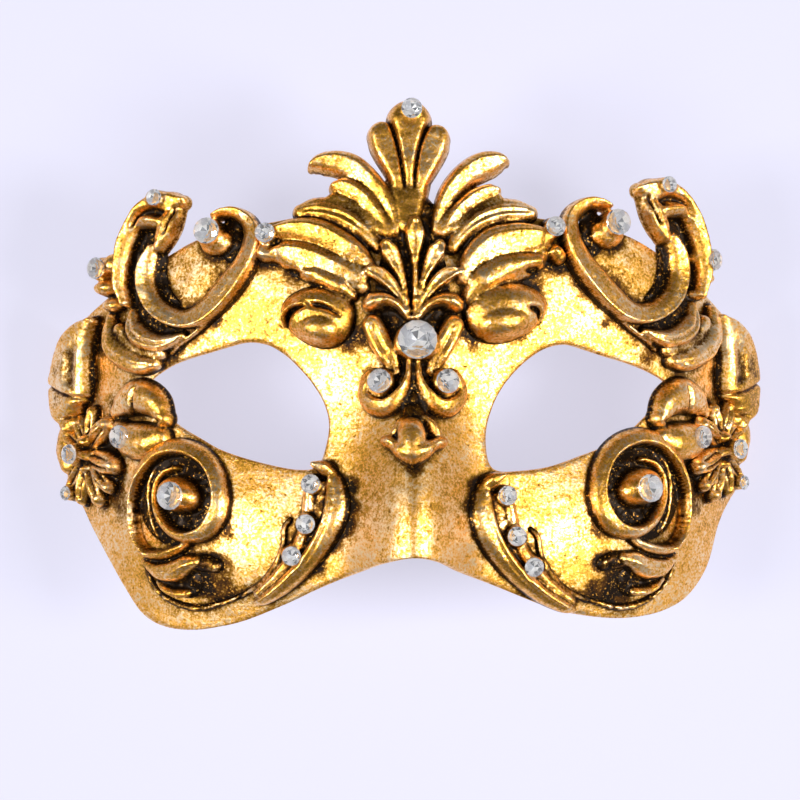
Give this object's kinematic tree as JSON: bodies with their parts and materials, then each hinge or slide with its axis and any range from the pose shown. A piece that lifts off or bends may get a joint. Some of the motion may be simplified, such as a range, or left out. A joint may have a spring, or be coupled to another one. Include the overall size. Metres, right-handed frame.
{
  "type": "colombina mask",
  "caption": "Gilded half mask for the eyes and nose, with a leaf crest, scrolls, flowers and glass stones, lying face up.",
  "frame": {"origin": "centre of the bounding box, on the surface the mask lies on", "axes": "+X towards the right-hand temple as seen from the front, +Y towards the crest, +Z out of the face"},
  "size_m": [0.1878, 0.133, 0.077],
  "materials": {
    "gilded_shell": "worn gold leaf over paper and gesso",
    "gilded_casting": "gold leaf with dark wax in the hollows",
    "glass_stone": "cut and foil backed"
  },
  "bodies": {
    "root": {"shell": "gilded_shell", "crest": "gilded_casting", "upper_scroll_left": "gilded_casting", "upper_scroll_right": "gilded_casting", "temple_leaf_left": "gilded_casting", "temple_leaf_right": "gilded_casting", "flower_left": "gilded_casting", "flower_right": "gilded_casting", "eye_leaf_left": "gilded_casting", "eye_leaf_right": "gilded_casting", "cheek_volute_left": "gilded_casting", "cheek_volute_right": "gilded_casting", "nose_band_left": "gilded_casting", "nose_band_right": "gilded_casting", "rhinestone_top": "glass_stone", "rhinestone_centre": "glass_stone", "rhinestone_leaf_left": "glass_stone", "rhinestone_leaf_right": "glass_stone", "rhinestone_curl_left": "glass_stone", "rhinestone_curl_right": "glass_stone", "rhinestone_horn_left": "glass_stone", "rhinestone_horn_right": "glass_stone", "rhinestone_volute_left": "glass_stone", "rhinestone_volute_right": "glass_stone", "rhinestone_outer_left": "glass_stone", "rhinestone_outer_right": "glass_stone", "rhinestone_bud_left": "glass_stone", "rhinestone_bud_right": "glass_stone", "rhinestone_petal_left": "glass_stone", "rhinestone_petal_right": "glass_stone", "rhinestone_eye_left": "glass_stone", "rhinestone_eye_right": "glass_stone", "rhinestone_cheek_left": "glass_stone", "rhinestone_cheek_right": "glass_stone", "rhinestone_upper_left": "glass_stone", "rhinestone_upper_right": "glass_stone", "rhinestone_middle_left": "glass_stone", "rhinestone_middle_right": "glass_stone", "rhinestone_lower_left": "glass_stone", "rhinestone_lower_right": "glass_stone"}
  },
  "joints": []
}
